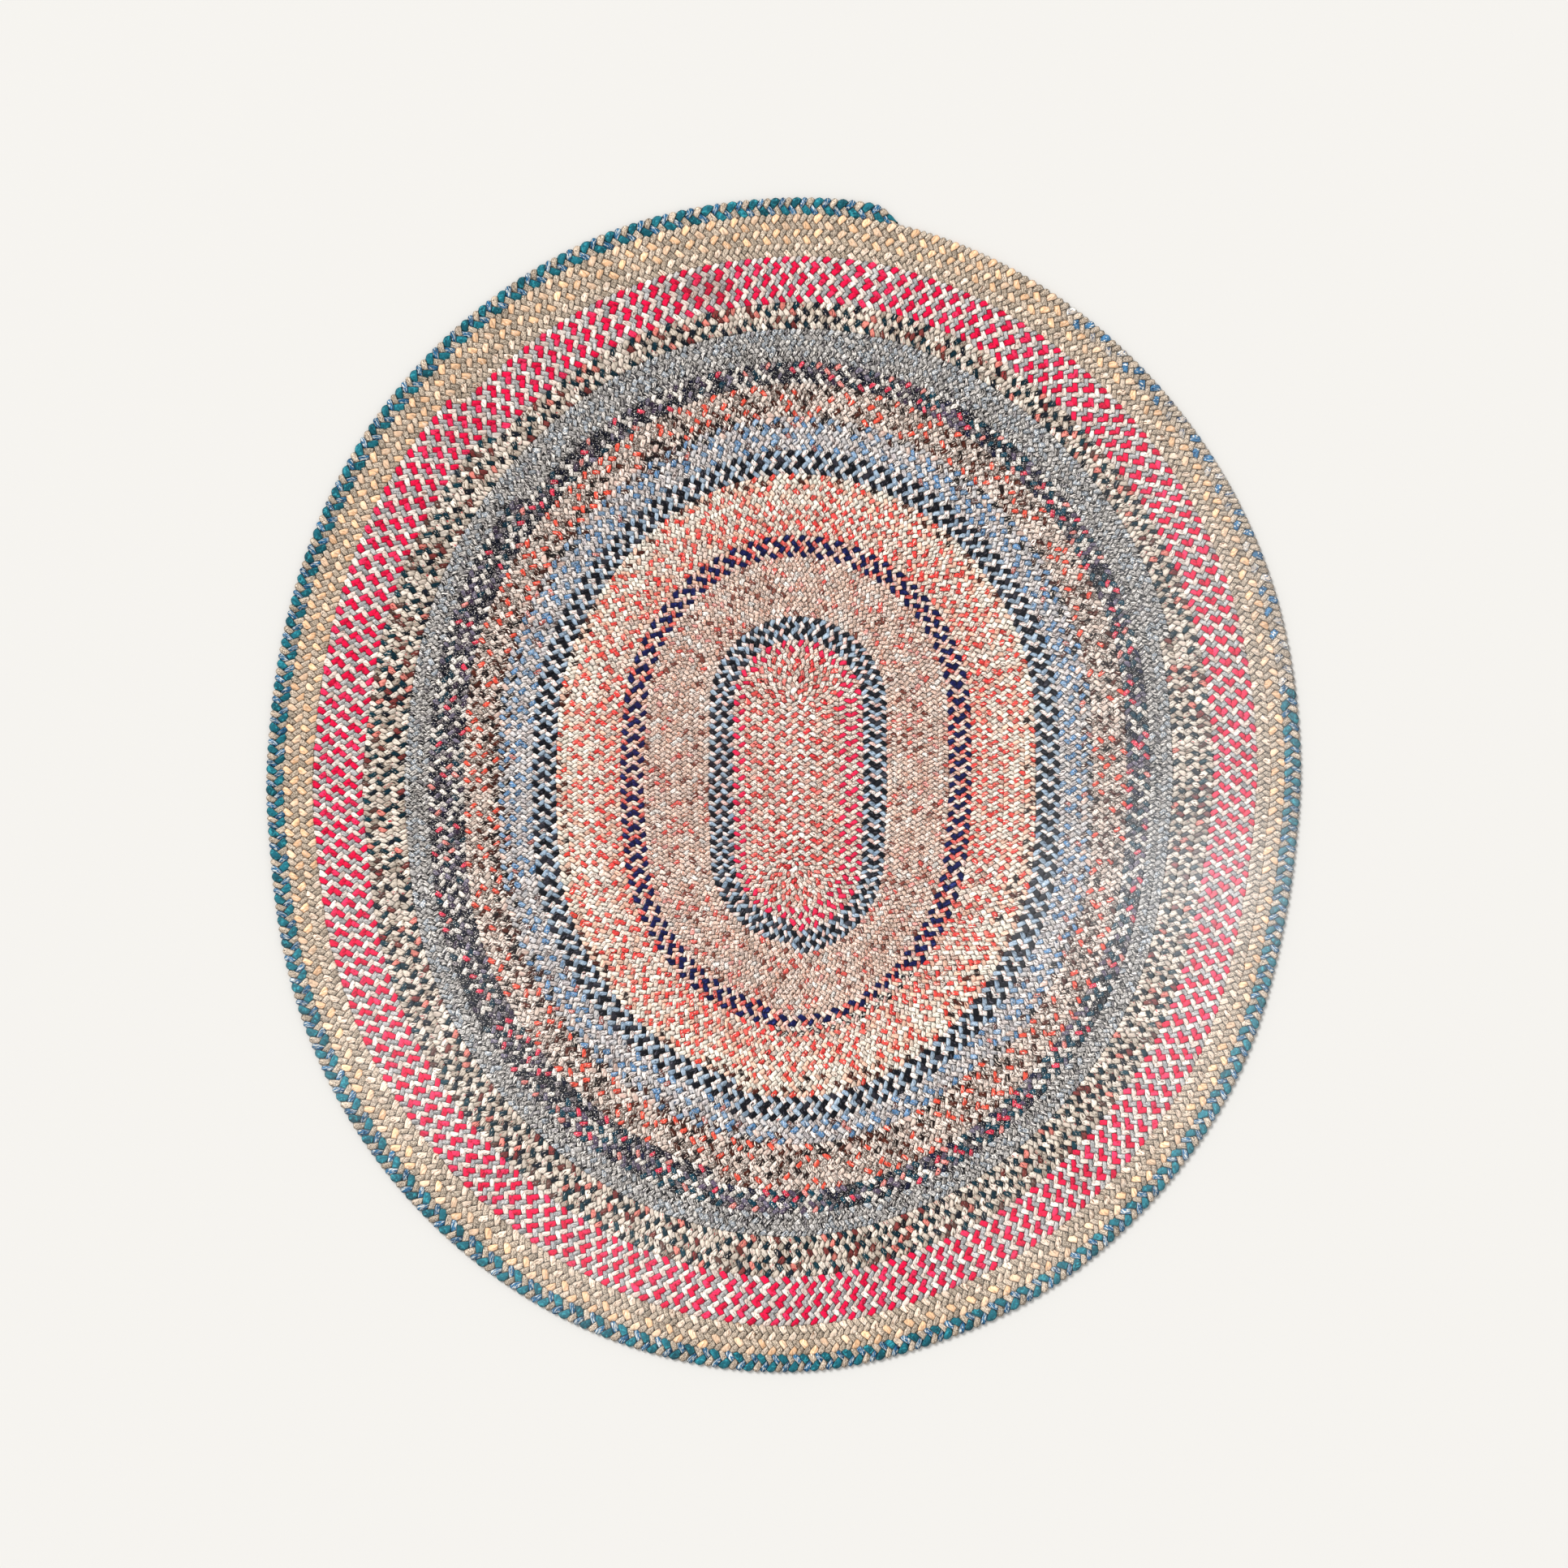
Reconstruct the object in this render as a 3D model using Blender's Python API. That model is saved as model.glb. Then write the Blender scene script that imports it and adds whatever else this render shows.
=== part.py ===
"""Oval braided rug: one flat three-strand rag braid wound into a coil of 44 rows, lying flat.

Metres, +Z up. The origin is under the middle of the rug, on the surface that it lies on. +Y runs along the
long way of the oval and +X to its right, seen from above.

Turns count along the coil from the braid's start at the far end of the spine: they grow clockwise and outward,
so a whole turn is at the far end (+Y), a quarter past it is on the right, and a half past it is at the near
end. A row's middle line lies at its own turn and its edges lie half a turn of coil to each side, so the groove
between two neighbouring rows is one line that both of them share.
"""
import math
from collections import namedtuple

import bmesh
import bpy

MM = 0.001

# The coil
LAST_STATION_TURN = 44.04      # where the tapered tail of the braid dies into the row inside it
STATIONS = 48                  # sections along each turn
RUN_STATIONS = 2               # of each quarter's stations, those on half of the straight run
CROWN_HEIGHT = 9.0 * MM        # middle of a row
GROOVE_HEIGHT = 6.2 * MM       # between two rows
SHOULDER_HEIGHT = 7.6 * MM     # outermost row, where it starts to round over
RIM_HEIGHT = 4.2 * MM          # outermost row, its widest line
SHOULDER_REACH = 0.34          # of a row, from its middle line
FOOT_REACH = 0.38              # of a row, from its middle line to the edge of the flat underside

# Rows of each band, from the spine outward: the turn where the band begins and how wide its rows are
Band = namedtuple("Band", "first_turn row_width")
BANDS = (
    Band(0.0, 18.25 * MM),     # coral and pale print, at the spine
    Band(5.5, 18.5 * MM),      # first dark pair
    Band(7.5, 16.25 * MM),     # beige
    Band(13.5, 17.75 * MM),    # navy pair
    Band(15.5, 16.4 * MM),     # cream
    Band(21.5, 18.6 * MM),     # black and slate pair
    Band(23.5, 17.1 * MM),     # denim, coral, print and grey-blue
    Band(34.2, 20.5 * MM),     # mixed brown and dark teal
    Band(36.9, 17.8 * MM),     # red
    Band(40.9, 22.0 * MM),     # peach
    Band(43.15, 24.5 * MM),    # teal
)

# The oval that the coil follows at a few turns: half of its straight run, its middle, and how far each
# rounded quarter is drawn in, as a share of its radius
Oval = namedtuple("Oval", "turn half_run centre_x centre_y far_right near_right near_left far_left")
OVALS = (
    Oval(0.0, 118.8 * MM, 18.3 * MM, 2.5 * MM, 0.0, 0.0, 0.0, 0.0),
    Oval(6.5, 119.0 * MM, 18.3 * MM, 3.8 * MM, 0.0, 0.030, 0.015, 0.015),
    Oval(14.5, 112.5 * MM, 15.1 * MM, 1.8 * MM, 0.005, 0.060, 0.040, 0.036),
    Oval(22.5, 105.5 * MM, 15.1 * MM, 3.3 * MM, 0.017, 0.034, 0.023, 0.040),
    Oval(37.0, 111.0 * MM, 13.6 * MM, -1.2 * MM, 0.019, 0.028, 0.010, 0.020),
    Oval(41.0, 111.5 * MM, 8.8 * MM, -3.6 * MM, 0.017, 0.021, 0.018, 0.016),
    Oval(44.5, 112.5 * MM, 7.6 * MM, -4.6 * MM, 0.019, 0.021, 0.007, 0.015),
)

# Where the outer rows bulge or pull in: degrees clockwise from +Y, the spread of the swell, and its size
Swell = namedtuple("Swell", "bearing spread amount")
SWELLS = (
    Swell(88.0, 9.0, 8.0 * MM),
    Swell(108.0, 12.0, -10.0 * MM),
    Swell(165.0, 10.0, -6.0 * MM),
    Swell(270.0, 9.0, 10.0 * MM),
    Swell(293.0, 13.0, -5.0 * MM),
    Swell(355.0, 11.0, -5.0 * MM),
)
SWELL_FIRST_TURN = 28.0
SWELL_FULL_TURN = 37.0

RUG_COLOUR = (0.52, 0.38, 0.33, 1.0)
RUG_ROUGHNESS = 0.95


def clear_scene():
    for thing in list(bpy.data.objects):
        bpy.data.objects.remove(thing)


def half_width(turn):
    """Distance from the straight run to the coil at a turn: the widths of the rows inside it, added up."""
    reach = 0.0
    ends = [band.first_turn for band in BANDS[1:]] + [math.inf]
    for band, end in zip(BANDS, ends):
        reach += band.row_width * (min(turn, end) - band.first_turn)
        if turn <= end:
            break
    return reach


def oval_at(turn):
    """The oval at any turn, straight between the two nearest ones of the table."""
    inner, outer = OVALS[0], OVALS[1]
    for inner, outer in zip(OVALS, OVALS[1:]):
        if turn <= outer.turn:
            break
    share = (turn - inner.turn) / (outer.turn - inner.turn)
    return Oval(*(a + (b - a) * share for a, b in zip(inner, outer)))


def swell_at(bearing, turn):
    grown = (turn - SWELL_FIRST_TURN) / (SWELL_FULL_TURN - SWELL_FIRST_TURN)
    grown = min(max(grown, 0.0), 1.0)
    total = 0.0
    for swell in SWELLS:
        away = (bearing - swell.bearing + 180.0) % 360.0 - 180.0
        total += swell.amount * math.exp(-(away / swell.spread) ** 2)
    return total * grown


def quarter_of(part_of_turn):
    """For 0 to 1 round the oval: the foot on the straight run, -1 to 1, and the way out from it."""
    corner = (0.25 - abs(part_of_turn % 0.5 - 0.25)) * 4.0
    arc_share = 1.0 - RUN_STATIONS * 4.0 / STATIONS
    angle = min(corner / arc_share, 1.0) * math.pi / 2
    foot = 1.0 - max(corner - arc_share, 0.0) / (1.0 - arc_share)
    right = 1.0 if part_of_turn < 0.5 else -1.0
    far = 1.0 if part_of_turn < 0.25 or part_of_turn > 0.75 else -1.0
    return far * foot, right * math.sin(angle), far * math.cos(angle)


def coil_point(station, turn, height):
    """Point of the coil at one of its stations and at a turn that may lie off the row's middle line."""
    part_of_turn = (station % STATIONS) / STATIONS
    foot, out_x, out_y = quarter_of(part_of_turn)
    oval = oval_at(turn)
    reach = half_width(turn)
    x = reach * out_x
    y = oval.half_run * foot + reach * out_y
    bearing = math.degrees(math.atan2(x, y))
    if part_of_turn < 0.25:
        drawn_in = oval.far_right
    elif part_of_turn < 0.5:
        drawn_in = oval.near_right
    elif part_of_turn < 0.75:
        drawn_in = oval.near_left
    else:
        drawn_in = oval.far_left
    radius = math.hypot(x, y)
    size = 1.0 - drawn_in * (2.0 * x * y / radius ** 2) ** 2 + swell_at(bearing, turn) / radius
    return (oval.centre_x + x * size, oval.centre_y + y * size, height)


def build_rug():
    """Loft the ribbed slab along the coil. Its rows share their grooves, so it is one closed solid."""
    mesh = bmesh.new()
    last = round(LAST_STATION_TURN * STATIONS)
    first_free = last - STATIONS           # from here on no row lies outside, so the row's edge is the rim

    def line(first, end, off_row, height):
        """Vertices along the coil, off its middle line by a share of a row."""
        return {j: mesh.verts.new(coil_point(j, j / STATIONS + off_row, height)) for j in range(first, end)}

    crown = line(0, last, 0.0, CROWN_HEIGHT)
    groove = line(0, first_free, 0.5, GROOVE_HEIGHT)
    shoulder = line(first_free + 1, last, SHOULDER_REACH, SHOULDER_HEIGHT)
    rim = line(first_free, last, 0.5, RIM_HEIGHT)
    foot = line(first_free, last, FOOT_REACH, 0.0)
    tail = rim[first_free]

    # The first two passes, down one side of the spine and up the other, share the groove between them
    spine = line(STATIONS // 2, STATIONS, -0.5, GROOVE_HEIGHT)
    spine[STATIONS] = groove[0]
    inner = {j: spine[max(j, STATIONS - j)] for j in range(STATIONS)}
    inner.update({j + STATIONS: vertex for j, vertex in groove.items()})
    inner[last] = tail
    outer = dict(groove)
    outer[first_free] = tail

    def face(*corners):
        mesh.faces.new(corners)

    for j in range(last - 1):
        face(inner[j], crown[j], crown[j + 1], inner[j + 1])
    for j in range(first_free):
        face(crown[j], outer[j], outer[j + 1], crown[j + 1])
    for j in range(first_free + 1, last - 1):
        face(crown[j], shoulder[j], shoulder[j + 1], crown[j + 1])
        face(shoulder[j], rim[j], rim[j + 1], shoulder[j + 1])

    # The rim starts at the tail point, and a turn later the last row tapers into that same point
    start = first_free + 1
    face(crown[first_free], shoulder[start], crown[start])
    face(crown[first_free], tail, shoulder[start])
    face(tail, rim[start], shoulder[start])
    end = last - 1
    face(inner[end], crown[end], tail)
    face(crown[end], shoulder[end], tail)
    face(shoulder[end], rim[end], tail)

    rim_loop = [rim[j] for j in range(first_free, last)]
    foot_loop = [foot[j] for j in range(first_free, last)]
    for j, upper in enumerate(rim_loop):
        face(upper, foot_loop[j], foot_loop[(j + 1) % STATIONS], rim_loop[(j + 1) % STATIONS])
    face(*foot_loop)

    bmesh.ops.recalc_face_normals(mesh, faces=mesh.faces)
    bmesh.ops.triangulate(mesh, faces=mesh.faces)
    data = bpy.data.meshes.new("braided_rug")
    mesh.to_mesh(data)
    mesh.free()
    data.shade_smooth()
    return bpy.data.objects.new("braided_rug", data)


def cloth_material():
    material = bpy.data.materials.new("rag_braid")
    material.use_nodes = True
    shader = material.node_tree.nodes["Principled BSDF"]
    shader.inputs["Base Color"].default_value = RUG_COLOUR
    shader.inputs["Roughness"].default_value = RUG_ROUGHNESS
    shader.inputs["Metallic"].default_value = 0.0
    return material


def main():
    clear_scene()
    parts = bpy.data.collections.new("braided_rug")
    bpy.context.scene.collection.children.link(parts)
    rug = build_rug()
    rug.data.materials.append(cloth_material())
    parts.objects.link(rug)


main()
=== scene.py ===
"""Oval braided rug, dressed: the three-strand rag braid itself, loop by loop, along the coil of the slab.

Metres, +Z up, in the frame of the CAD model. Turns count along the coil from the braid's start at the far
end of the spine: they grow clockwise and outward, a whole turn is at the far end (+Y) and a quarter past
it on the right. Loops count along the braid: each strand shows as a loop on the outer half of the row, then
a loop and a half further on as one on its inner half, and the three strands take turns.
"""
import math
from collections import defaultdict, namedtuple
from functools import partial
from statistics import NormalDist

import bpy
import numpy as np
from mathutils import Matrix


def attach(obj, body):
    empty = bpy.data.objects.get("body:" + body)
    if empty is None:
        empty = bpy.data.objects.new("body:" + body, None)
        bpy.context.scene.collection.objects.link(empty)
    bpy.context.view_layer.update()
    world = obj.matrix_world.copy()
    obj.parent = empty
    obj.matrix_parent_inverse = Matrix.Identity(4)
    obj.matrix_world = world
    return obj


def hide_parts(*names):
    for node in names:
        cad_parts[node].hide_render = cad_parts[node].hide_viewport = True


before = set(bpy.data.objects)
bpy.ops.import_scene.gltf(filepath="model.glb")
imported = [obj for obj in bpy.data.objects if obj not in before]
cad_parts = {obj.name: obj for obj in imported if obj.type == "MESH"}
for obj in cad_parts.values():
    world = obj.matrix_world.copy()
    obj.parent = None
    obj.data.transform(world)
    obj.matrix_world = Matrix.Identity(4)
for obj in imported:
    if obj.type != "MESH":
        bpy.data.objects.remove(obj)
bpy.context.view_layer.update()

MM = 0.001
RUG_NODE = "braided_rug"

# ---- The coil, as in the CAD model ----

# From the spine outward: the turn where the rows change, their width, and the length in which a strand comes
# back to the same side of the braid
Band = namedtuple("Band", "first_turn row_width period")
BANDS = (
    Band(0.0, 18.25 * MM, 25.8 * MM),
    Band(5.5, 18.5 * MM, 25.5 * MM),
    Band(7.5, 16.25 * MM, 26.0 * MM),
    Band(13.5, 17.75 * MM, 27.5 * MM),
    Band(15.5, 16.4 * MM, 26.4 * MM),
    Band(21.5, 18.6 * MM, 31.0 * MM),
    Band(23.5, 17.1 * MM, 28.0 * MM),
    Band(34.2, 20.5 * MM, 28.6 * MM),
    Band(36.9, 17.8 * MM, 31.8 * MM),
    Band(40.9, 22.0 * MM, 37.5 * MM),
    Band(43.15, 24.5 * MM, 38.0 * MM),
)

# At a turn: half of the oval's straight run, its middle, and the share by which each corner is drawn in
Oval = namedtuple("Oval", "turn half_run centre_x centre_y far_right near_right near_left far_left")
OVALS = (
    Oval(0.0, 118.8 * MM, 18.3 * MM, 2.5 * MM, 0.0, 0.0, 0.0, 0.0),
    Oval(6.5, 119.0 * MM, 18.3 * MM, 3.8 * MM, 0.0, 0.030, 0.015, 0.015),
    Oval(14.5, 112.5 * MM, 15.1 * MM, 1.8 * MM, 0.005, 0.060, 0.040, 0.036),
    Oval(22.5, 105.5 * MM, 15.1 * MM, 3.3 * MM, 0.017, 0.034, 0.023, 0.040),
    Oval(37.0, 111.0 * MM, 13.6 * MM, -1.2 * MM, 0.019, 0.028, 0.010, 0.020),
    Oval(41.0, 111.5 * MM, 8.8 * MM, -3.6 * MM, 0.017, 0.021, 0.018, 0.016),
    Oval(44.5, 112.5 * MM, 7.6 * MM, -4.6 * MM, 0.019, 0.021, 0.007, 0.015),
)

# Bulges of the outline, and flats where the amount is below zero: degrees clockwise from the far end, and to
# each side. They grow in between two turns.
Swell = namedtuple("Swell", "bearing spread amount")
SWELLS = (
    Swell(88.0, 9.0, 8.0 * MM),
    Swell(108.0, 12.0, -10.0 * MM),
    Swell(165.0, 10.0, -6.0 * MM),
    Swell(270.0, 9.0, 10.0 * MM),
    Swell(293.0, 13.0, -5.0 * MM),
    Swell(355.0, 11.0, -5.0 * MM),
)
SWELL_FIRST_TURN = 28.0
SWELL_FULL_TURN = 37.0

ARC_SHARE = 5.0 / 6.0     # of each quarter turn, the share in the rounded end; the rest runs straight
FIRST_TURN = ARC_SHARE / 4.0  # the braid starts at the head of the straight run beside the spine
LAST_TURN = 44.03         # and its tail is tucked against the row inside it
WIDTHS_FROM_TURN = -1.0   # the rows' widths are added up from before the braid
WIDTHS_TO_TURN = 46.0     # to past its tail
SMALLEST_RADIUS = 1e-6    # so that nothing is divided by zero
TURN_SAMPLES = 2400       # steps along each turn when loops are counted

# ---- The plait ----

STRANDS = 3
OUTER = 0                 # the half of the braid at the row's outer edge
INNER = 1                 # and the one at its inner edge
INNER_START = 0.5         # loops that the inner half's loops lie further along
LEAN = 0.6                # loops that a strand moves along between the row's edge and its middle
LEAN_POWER = 1.8          # it sets out straight across at the edge and leans over towards the middle
SEAM_REACH = 0.28         # of half a row: how far loops of one side reach past the middle
SEAM_SHIFT = 0.6          # of the unevenness of a loop's place at the edge, the share at the seam
EDGE_HEIGHT = 4.6 * MM    # where the top of the braid turns into its underside
CROWN_HEIGHT = 9.3 * MM   # top of the loops
ROUNDNESS = 2.6           # how square the row's section is
CREASE_DEPTH = 3.0 * MM   # between loops side by side
CREASE_AT_EDGE = 0.55     # share of that depth at the row's edge
CREASE_GAIN = 0.45        # and what the crease gains towards the seam
SEAM_DEPTH = 2.3 * MM     # where loops dive under each other along the middle
UNDER_CREASE = 1.6 * MM   # the same on the underside
THICK_LIFT = 1.6 * MM     # how much higher a strand of twice the usual size would stand
LOOP_LENGTH = 1.45        # of half a row: the cloth of a loop from end to end
OVERLAP = 0.3 * MM        # how far rows reach into each other everywhere
BULGE = 1.6 * MM          # how far a loop reaches between two loops of the next row, once they nest
WOBBLE = 1.8 * MM         # how far the line between two rows wanders where they don't nest
WOBBLE_POINTS = 2         # for each loop
RIM_BULGE = 2.4 * MM      # how far the loops round the rug's rim stand out
RIM_EVEN = 0.55           # share of that all along a loop
RIM_SWING = 0.45          # and share that comes and goes with it
RIM_NOTCH = 1.0 * MM      # how far the rim draws in between loops
INNER_LIFT = 1.5 * MM     # rows laced to each other close up higher than the rug's rim

# A row's loops settle between those of the row inside it: they are held back or hurried by shares of their
# pace, and slip by a whole loop where the row has grown longer by that much
NESTING_TURNS = (1.02, 1.15)  # it sets in between these turns
NESTING_HOLD = 0.15       # loops a little ahead of that place are held back by up to this share
NESTING_BASIN = 0.25      # loops further ahead than this go on to the next place
NESTING_PUSH = 0.2        # and are hurried by up to this share
NESTING_GIVE = 0.1        # loops off the place at which either has its full strength
NESTING_LEAD = 0.05       # loops that the place is off the middle between two inner loops
NESTING_STRETCH = 1.02    # loops start out closer by this, as they are held back more than hurried
SPINE_NESTING = 0.8       # share of all that where the first two passes meet along the spine
SPINE_STEP = 0.5          # loops that those two are out of step there
WIDTH_RANGE = (0.9, 1.1)  # of the plain row width: loops grow with their row between these

START_LOOPS = 1.2         # loops before the first turn, in the braid's rounded start
START_ROUNDING = 1.55     # loops that the braid takes to round off there
START_ANGLE = 1.5         # radians of the curve in which it does
TAIL_ROUNDING = 3.2       # loops that it takes at its tail
TAIL_WIDTH = 0.22         # of a row, left at the very tail
END_HEIGHT = 0.35         # of the height above and below its edge, left at both ends

# A loop has a column of quads in each quarter, which ends at the seam's zigzag one quarter further on
COLUMNS = 4
COLUMN_PLACES = np.arange(COLUMNS + 1) / COLUMNS
INNER_COLUMNS = np.arange(1, COLUMNS)
ZIGZAG = np.array([0.0, 1.0, 0.0, -1.0])
SEAM_SIDES = ZIGZAG[(np.arange(COLUMNS + 1) + 1) % COLUMNS]
SEAM_PLACES = COLUMN_PLACES + 1 / COLUMNS

# Across a loop: how open it is to the light, which sets its painted crease shade, and how much lower it ends
# at the seam between its creases
ACROSS_OPEN = np.array([0.0, 0.74, 1.0, 0.8, 0.0])
SEAM_DIP = np.array([0.5, 0.3, 0.1]) * MM

# Along the row's edge in quarter steps: how open a loop is to the light, for its painted crease shade, how
# high it lies and how far it stands out
EDGE_OPEN = np.array([0.0, 0.2, 0.3, 0.2])
EDGE_LIFT = np.array([-0.6, 0.5, 0.9, 0.5]) * MM
EDGE_SCALLOP = np.array([-1.0, 0.1, 1.0, 0.1])
LOOSE_OPEN = 0.14         # more open, so with less painted crease shade, by this much where rows don't nest

# Where rows of quads end on the way from the edge (0) to the seam (1), by the number of rows
ROW_STEPS = {3: (0.0, 0.24, 0.62, 1.0), 4: (0.0, 0.16, 0.42, 0.72, 1.0)}

# The underside of a loop: points e0 to e4 along its edge, a and b in the creases before and after it, m in
# its middle and s0 to s2 along its seam, and the faces between them
UNDER_LINE_STEP = 0.45
UNDER_MIDDLE_STEP = 0.5
UNDER_CORNER_STEP = 0.9
UNDER_FACES = ("e0 e1 a", "e1 m a", "e1 e2 m", "e2 e3 m", "e3 b m", "e3 e4 b", "a m s1 s0", "m b s2 s1")

# Pieces: one stretch of the braid each, named for its cloth, and the rows of quads along a loop
Piece = namedtuple("Piece", "name first_turn rows")
PIECES = (
    Piece("spine_braid", FIRST_TURN, 3),
    Piece("dark_braid", 5.5, 3),
    Piece("beige_braid", 7.5, 3),
    Piece("navy_braid", 13.51, 3),
    Piece("cream_braid", 15.51, 3),
    Piece("black_braid", 21.53, 3),
    Piece("denim_braid", 23.53, 3),
    Piece("coral_braid", 26.5, 3),
    Piece("print_braid", 29.53, 3),
    Piece("grey_blue_braid", 31.88, 3),
    Piece("mixed_braid", 34.18, 3),
    Piece("red_braid", 36.89, 4),
    Piece("peach_braid", 40.89, 4),
    Piece("teal_braid", 43.2, 4),
)

# The plait's three strands, from a turn on: first their sizes, against the mean of the three
Plait = namedtuple("Plait", "first_turn one two three")
STRAND_SIZES = (
    Plait(0.0, 1.0, 1.0, 1.0),
    Plait(5.5, 1.12, 1.0, 0.88),
    Plait(7.5, 1.0, 1.0, 1.0),
    Plait(13.51, 1.24, 0.96, 0.8),
    Plait(15.51, 0.96, 1.04, 1.0),
    Plait(21.53, 1.12, 1.0, 0.88),
    Plait(23.53, 1.1, 0.95, 0.95),
    Plait(34.18, 0.86, 1.02, 1.12),
    Plait(36.89, 1.12, 1.04, 0.84),
    Plait(40.89, 1.12, 0.94, 0.94),
    Plait(43.2, 1.24, 0.86, 0.9),
)

# Unevenness of the braid: a random value for every loop of both halves
RANDOM_SEED = 7
LINE_JITTER = 0.07        # loops: unevenness of the places where neighbouring loops meet
HEIGHT_JITTER = 0.35 * MM  # and of the loops' heights
CLOTH_DEPTHS = 900.0      # millimetres: each loop has its own place in the pattern
SPARE_LOOPS = 4           # past the last loop

BAKE_MARGIN = 0.06        # of a tile of the bake map, kept free all round
CAP_SIZE = 8.0            # millimetres of cloth across the closed end of a piece


def band_values(turn, column):
    """The value in a column of the bands' table at each turn."""
    starts = [band.first_turn for band in BANDS]
    values = np.array([getattr(band, column) for band in BANDS])
    return values[np.searchsorted(starts, turn, side="right") - 1]


def half_width(turn):
    """Distance from the straight run to the coil: the widths of the rows inside it, added up."""
    turns = [WIDTHS_FROM_TURN] + [band.first_turn for band in BANDS] + [WIDTHS_TO_TURN]
    widths = [BANDS[0].row_width] + [band.row_width for band in BANDS]
    gains = [width * (stop - start) for width, start, stop in zip(widths, turns, turns[1:])]
    reach = np.cumsum([WIDTHS_FROM_TURN * BANDS[0].row_width] + gains)
    return np.interp(turn, turns, reach)


def oval_at(turn):
    """The oval at each turn, between the rows of its table."""
    columns = list(zip(*OVALS))
    return Oval(turn, *(np.interp(turn, columns[0], column) for column in columns[1:]))


def swell_at(bearing, turn):
    """How far the outline bulges at a bearing."""
    grown = np.clip((turn - SWELL_FIRST_TURN) / (SWELL_FULL_TURN - SWELL_FIRST_TURN), 0.0, 1.0)
    total = 0.0
    for swell in SWELLS:
        away = (bearing - swell.bearing + 180.0) % 360.0 - 180.0
        total = total + swell.amount * np.exp(-((away / swell.spread) ** 2))
    return total * grown


def coil_points(place_round, turn):
    """x and y at a place round the oval, counted in turns, and at the distance out that the coil has at a
    turn. The two needn't be in step: a row's outer edge lies as far out as the coil half a turn later."""
    part = place_round % 1.0
    corner = (0.25 - np.abs(part % 0.5 - 0.25)) * 4.0
    angle = np.minimum(corner / ARC_SHARE, 1.0) * (math.pi / 2)
    foot = 1.0 - np.maximum(corner - ARC_SHARE, 0.0) / (1.0 - ARC_SHARE)
    right = np.where(part < 0.5, 1.0, -1.0)
    far = np.where((part < 0.25) | (part > 0.75), 1.0, -1.0)
    oval = oval_at(turn)
    reach = half_width(turn)
    x = reach * right * np.sin(angle)
    y = far * (oval.half_run * foot + reach * np.cos(angle))
    quarters = [part < 0.25, part < 0.5, part < 0.75]
    drawn_in = np.select(quarters, [oval.far_right, oval.near_right, oval.near_left], oval.far_left)
    radius = np.maximum(np.hypot(x, y), SMALLEST_RADIUS)
    bearing = np.degrees(np.arctan2(x, y))
    size = 1.0 - drawn_in * (2.0 * x * y / radius**2) ** 2 + swell_at(bearing, turn) / radius
    return oval.centre_x + x * size, oval.centre_y + y * size


# ---- Loops along the coil ----


def row_widths(turns):
    """Width of the row at each turn, straight across."""
    outer_x, outer_y = coil_points(turns, turns + 0.5)
    inner_x, inner_y = coil_points(turns, turns - 0.5)
    return np.hypot(outer_x - inner_x, outer_y - inner_y)


def loop_steps(turns, length):
    """Loops from each turn to the next, if rows didn't nest."""
    wide = np.clip(row_widths(turns) / band_values(turns, "row_width"), *WIDTH_RANGE)
    stretch = np.where(turns > NESTING_TURNS[1], NESTING_STRETCH, 1.0)
    rate = STRANDS / (band_values(turns, "period") * wide) * stretch
    return np.diff(length) * (rate[1:] + rate[:-1]) / 2


def pace_change(misfit):
    """Share by which loops hurry, or are held back where it is below zero, when they are off their place."""
    if misfit < NESTING_BASIN:
        return -NESTING_HOLD * min(misfit / NESTING_GIVE, 1.0)
    return NESTING_PUSH * min((1.0 - misfit) / NESTING_GIVE, 1.0)


def nest_loops(loops, steps, strength):
    """Let each row's loops settle between those of the row inside it. Returns the loops, and how many loops
    each place is ahead of the one inside it."""
    ahead = [0.0] * len(loops)
    for i in range(TURN_SAMPLES // 2, len(loops)):
        if i < TURN_SAMPLES:
            inside = SPINE_STEP - loops[TURN_SAMPLES - i]
        else:
            inside = loops[i - TURN_SAMPLES]
        ahead[i] = loops[i - 1] - inside
        change = pace_change((ahead[i] + NESTING_LEAD) % 1.0)
        loops[i] = loops[i - 1] + steps[i - 1] * (1.0 + change * strength[i])
    return np.array(loops), np.array(ahead)


def count_loops():
    """Along the braid, in step: turns, loops, lengths, and how well the row nests with the one inside it."""
    turns = np.arange(0, round(LAST_TURN * TURN_SAMPLES) + 1) / TURN_SAMPLES
    x, y = coil_points(turns, turns)
    length = np.concatenate([[0.0], np.cumsum(np.hypot(np.diff(x), np.diff(y)))])
    steps = loop_steps(turns, length)
    free = np.concatenate([[0.0], np.cumsum(steps)])
    first = round(FIRST_TURN * TURN_SAMPLES)
    free += START_LOOPS - free[first]
    strength = np.where(turns < 1.0, SPINE_NESTING, np.interp(turns, NESTING_TURNS, (0.0, 1.0)))
    loops, ahead = nest_loops(free.tolist(), steps, strength)
    nesting = strength * np.maximum(np.cos(2 * math.pi * ahead), 0.0)
    nesting[1 : TURN_SAMPLES // 2] = nesting[TURN_SAMPLES - 1 : TURN_SAMPLES // 2 : -1]
    return turns[first:], loops[first:], length[first:] - length[first], nesting[first:]


TURNS, LOOPS, LENGTHS, NESTING = count_loops()
LAST_LOOP = int(LOOPS[-1])


def turn_of(loop):
    """Turn of a place counted in loops."""
    return np.interp(loop, LOOPS, TURNS)


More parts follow.
